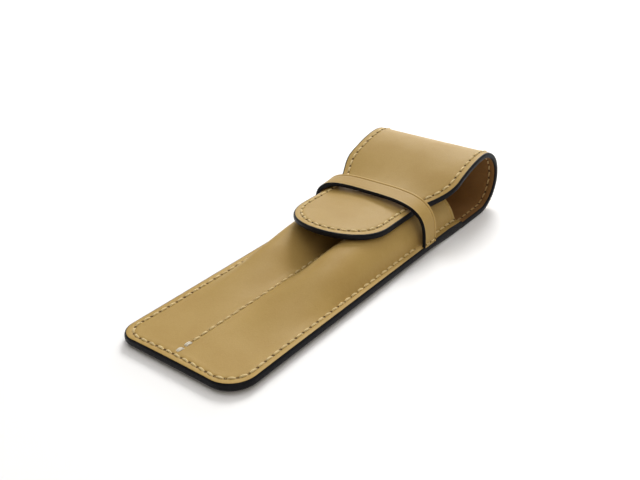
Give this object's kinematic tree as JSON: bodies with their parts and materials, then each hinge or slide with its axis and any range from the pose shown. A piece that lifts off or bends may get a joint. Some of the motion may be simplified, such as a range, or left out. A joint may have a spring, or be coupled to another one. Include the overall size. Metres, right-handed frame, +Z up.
{
  "type": "fountain pen case",
  "caption": "Flat leather sleeve with side-by-side pen channels, a rolled-over flap and a keeper strap that the flap's rounded tongue tucks under.",
  "frame": {"origin": "middle of the underside's bounding box, on the surface that the case lies on", "axes": "+X across the case, +Y from the closed end towards the rolled fold, +Z up through the front panel"},
  "size_m": [0.056, 0.171, 0.028],
  "materials": {
    "outer_leather": "smooth satin, painted black edges",
    "lining_leather": "matt",
    "thread": "waxed thread",
    "tack_thread": "waxed thread, doubled"
  },
  "bodies": {
    "pouch": {"back_panel_outer": "outer_leather", "back_panel_lining": "lining_leather", "front_panel_outer": "outer_leather", "front_panel_lining": "lining_leather", "keeper_outer": "outer_leather", "keeper_lining": "lining_leather", "perimeter_seam_thread": "thread", "centre_seam_thread": "thread", "centre_seam_bar_tack": "tack_thread"},
    "fold_base": {"fold_base_outer": "outer_leather", "fold_base_lining": "lining_leather"},
    "fold_lower": {"fold_lower_outer": "outer_leather", "fold_lower_lining": "lining_leather"},
    "fold_middle": {"fold_middle_outer": "outer_leather", "fold_middle_lining": "lining_leather"},
    "fold_upper": {"fold_upper_outer": "outer_leather", "fold_upper_lining": "lining_leather"},
    "flap_root": {"flap_root_outer": "outer_leather", "flap_root_lining": "lining_leather", "flap_bridge_outer": "outer_leather", "flap_bridge_lining": "lining_leather"},
    "flap": {"flap_outer": "outer_leather", "flap_lining": "lining_leather", "flap_seam_thread": "thread"}
  },
  "joints": [
    {"name": "flap_draw", "type": "slide", "parent": "pouch", "child": "fold_base", "axis": [0, 1, 0], "range_m": [0, 0.0215]},
    {"name": "flap_swing", "type": "hinge", "parent": "fold_base", "child": "fold_lower", "pos_m": [0, 0.07644, 0.00208], "axis": [-1, 0, 0], "range_deg": [0, 42.5]},
    {"name": "fold_bend_lower", "type": "hinge", "parent": "fold_lower", "child": "fold_middle", "pos_m": [0, 0.08342, 0.00906], "axis": [-1, 0, 0], "range_deg": [0, 42.5]},
    {"name": "fold_bend_middle", "type": "hinge", "parent": "fold_middle", "child": "fold_upper", "pos_m": [0, 0.08342, 0.01894], "axis": [-1, 0, 0], "range_deg": [0, 42.5]},
    {"name": "fold_bend_upper", "type": "hinge", "parent": "fold_upper", "child": "flap_root", "pos_m": [0, 0.07644, 0.02592], "axis": [-1, 0, 0], "range_deg": [0, 42.5]},
    {"name": "tongue_draw", "type": "slide", "parent": "flap_root", "child": "flap", "axis": [0, 1, 0], "range_m": [0, 0.0215], "deforming": ["flap_bridge_outer", "flap_bridge_lining"]}
  ],
  "couplings": [
    {"joint": "tongue_draw", "follows": "flap_draw", "ratio": 1},
    {"joint": "fold_bend_lower", "follows": "flap_swing", "ratio": 1},
    {"joint": "fold_bend_middle", "follows": "flap_swing", "ratio": 1},
    {"joint": "fold_bend_upper", "follows": "flap_swing", "ratio": 1}
  ]
}
